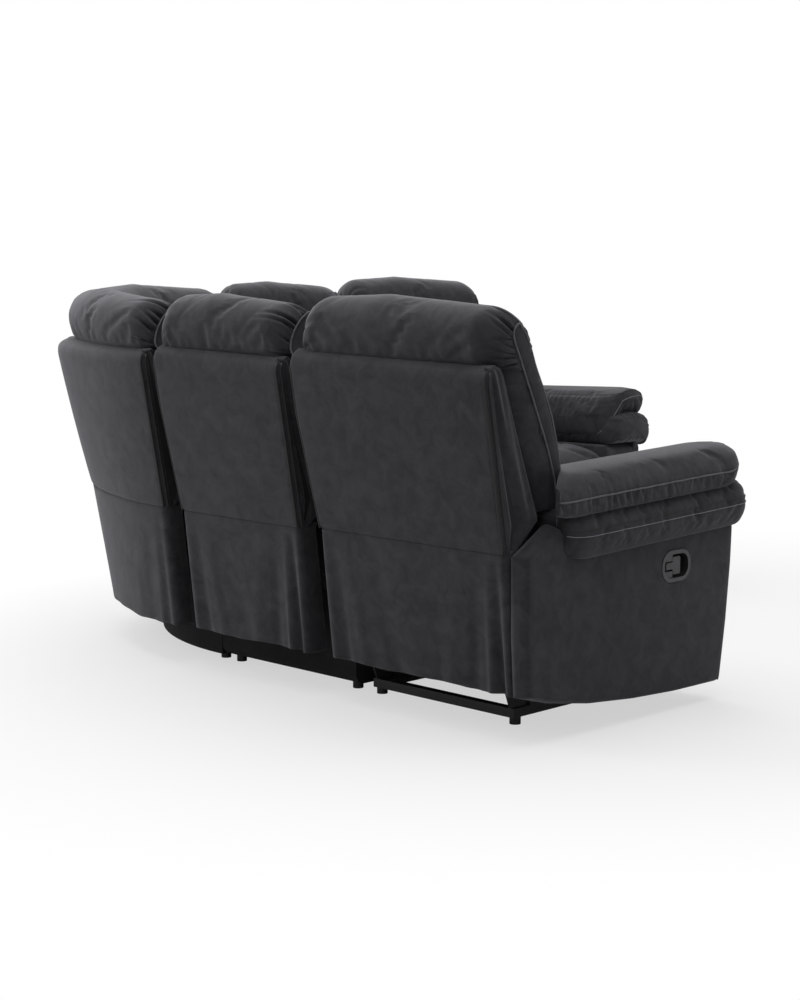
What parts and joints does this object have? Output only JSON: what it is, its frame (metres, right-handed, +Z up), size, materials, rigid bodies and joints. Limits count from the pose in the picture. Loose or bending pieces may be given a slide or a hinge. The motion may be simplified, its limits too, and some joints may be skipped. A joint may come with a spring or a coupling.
{
  "type": "corner reclining sofa",
  "caption": "L-shaped corner sofa with a curved corner seat, armless middle seats and reclining end seats with folding footrests and pull-lever release in each arm.",
  "frame": {"origin": "middle of the floor plan, on the floor", "axes": "+Z up; the right leg runs along X and its seats face +Y, the left leg runs along Y and its seats face +X"},
  "size_m": [2.3228, 2.3228, 1.03],
  "materials": {
    "upholstery": "charcoal suede-look microfibre, sewn over foam and fibre fill",
    "box_base": "black upholstered timber box with a dust cloth below",
    "frame_timber": "plain softwood and plywood",
    "black_steel": "satin black powder coat",
    "zinc_steel": "bright zinc plating",
    "handle_plastic": "dark grey moulded plastic",
    "glide_plastic": "black moulded plastic"
  },
  "bodies": {
    "root": {"corner_back_cushion": "upholstery", "corner_back_frame": "frame_timber", "corner_back_panel": "upholstery", "corner_box_base": "box_base", "corner_headrest": "upholstery", "corner_seat_cushion": "upholstery", "floor_glides": "glide_plastic", "left_arm_frame": "frame_timber", "left_arm_pad": "upholstery", "left_arm_roll": "upholstery", "left_arm_side_panel": "upholstery", "left_back_flap": "upholstery", "left_base_frame": "black_steel", "left_handle_cup": "handle_plastic", "left_hinge_arms": "black_steel", "left_middle_back_cushion": "upholstery", "left_middle_back_flap": "upholstery", "left_middle_back_frame": "frame_timber", "left_middle_back_panel": "upholstery", "left_middle_box_base": "box_base", "left_middle_headrest": "upholstery", "left_middle_seat_cushion": "upholstery", "module_connectors": "zinc_steel", "right_arm_frame": "frame_timber", "right_arm_pad": "upholstery", "right_arm_roll": "upholstery", "right_arm_side_panel": "upholstery", "right_back_flap": "upholstery", "right_base_frame": "black_steel", "right_handle_cup": "handle_plastic", "right_hinge_arms": "black_steel", "right_middle_back_cushion": "upholstery", "right_middle_back_flap": "upholstery", "right_middle_back_frame": "frame_timber", "right_middle_back_panel": "upholstery", "right_middle_box_base": "box_base", "right_middle_headrest": "upholstery", "right_middle_seat_cushion": "upholstery"},
    "right_back": {"right_back_frame": "frame_timber", "right_back_panel": "upholstery", "right_back_cushion": "upholstery", "right_headrest": "upholstery"},
    "right_seat": {"right_seat_frame": "frame_timber", "right_seat_cushion": "upholstery"},
    "right_rear_link": {"right_rear_links": "zinc_steel"},
    "right_front_link": {"right_front_links": "zinc_steel"},
    "right_footrest": {"right_footrest_board": "black_steel", "right_footrest_pad": "upholstery"},
    "right_lever": {"right_release_lever": "handle_plastic"},
    "left_back": {"left_back_frame": "frame_timber", "left_back_panel": "upholstery", "left_back_cushion": "upholstery", "left_headrest": "upholstery"},
    "left_seat": {"left_seat_frame": "frame_timber", "left_seat_cushion": "upholstery"},
    "left_rear_link": {"left_rear_links": "zinc_steel"},
    "left_front_link": {"left_front_links": "zinc_steel"},
    "left_footrest": {"left_footrest_board": "black_steel", "left_footrest_pad": "upholstery"},
    "left_lever": {"left_release_lever": "handle_plastic"}
  },
  "joints": [
    {"name": "right_recline", "type": "hinge", "parent": "root", "child": "right_back", "pos_m": [0.7755, -1.0295, 0.47], "axis": [1, 0, 0], "range_deg": [0, 30], "deforming": ["right_back_flap"]},
    {"name": "right_seat_slide", "type": "slide", "parent": "root", "child": "right_seat", "axis": [0, 1, 0], "range_m": [0, 0.06]},
    {"name": "right_footrest_swing", "type": "hinge", "parent": "right_seat", "child": "right_rear_link", "pos_m": [0.7755, -0.3745, 0.262], "axis": [1, 0, 0], "range_deg": [0, 75]},
    {"name": "right_link_fold", "type": "hinge", "parent": "right_rear_link", "child": "right_front_link", "pos_m": [0.7755, -0.36508, 0.08225], "axis": [1, 0, 0], "range_deg": [-151, 1]},
    {"name": "right_footrest_tilt", "type": "hinge", "parent": "right_front_link", "child": "right_footrest", "pos_m": [0.7755, -0.40557, 0.25763], "axis": [1, 0, 0], "range_deg": [-1, 166]},
    {"name": "right_release", "type": "hinge", "parent": "root", "child": "right_lever", "pos_m": [1.1235, -0.5295, 0.369], "axis": [0, 0, -1], "range_deg": [0, 35], "stiffness_Nm_per_rad": 0.4, "springref_deg": -5.73},
    {"name": "left_recline", "type": "hinge", "parent": "root", "child": "left_back", "pos_m": [-1.0295, 0.7755, 0.47], "axis": [0, -1, 0], "range_deg": [0, 30], "deforming": ["left_back_flap"]},
    {"name": "left_seat_slide", "type": "slide", "parent": "root", "child": "left_seat", "axis": [1, 0, 0], "range_m": [0, 0.06]},
    {"name": "left_footrest_swing", "type": "hinge", "parent": "left_seat", "child": "left_rear_link", "pos_m": [-0.3745, 0.7755, 0.262], "axis": [0, -1, 0], "range_deg": [0, 75]},
    {"name": "left_link_fold", "type": "hinge", "parent": "left_rear_link", "child": "left_front_link", "pos_m": [-0.36508, 0.7755, 0.08225], "axis": [0, -1, 0], "range_deg": [-151, 1]},
    {"name": "left_footrest_tilt", "type": "hinge", "parent": "left_front_link", "child": "left_footrest", "pos_m": [-0.40557, 0.7755, 0.25763], "axis": [0, -1, 0], "range_deg": [-1, 166]},
    {"name": "left_release", "type": "hinge", "parent": "root", "child": "left_lever", "pos_m": [-0.5295, 1.1235, 0.369], "axis": [0, 0, 1], "range_deg": [0, 35], "stiffness_Nm_per_rad": 0.4, "springref_deg": -5.73}
  ],
  "couplings": [
    {"joint": "right_seat_slide", "follows": "right_recline", "m_per_rad": 0.11448},
    {"joint": "right_link_fold", "follows": "right_footrest_swing", "ratio": -2},
    {"joint": "right_footrest_tilt", "follows": "right_footrest_swing", "ratio": 2.2},
    {"joint": "left_seat_slide", "follows": "left_recline", "m_per_rad": 0.11448},
    {"joint": "left_link_fold", "follows": "left_footrest_swing", "ratio": -2},
    {"joint": "left_footrest_tilt", "follows": "left_footrest_swing", "ratio": 2.2}
  ]
}
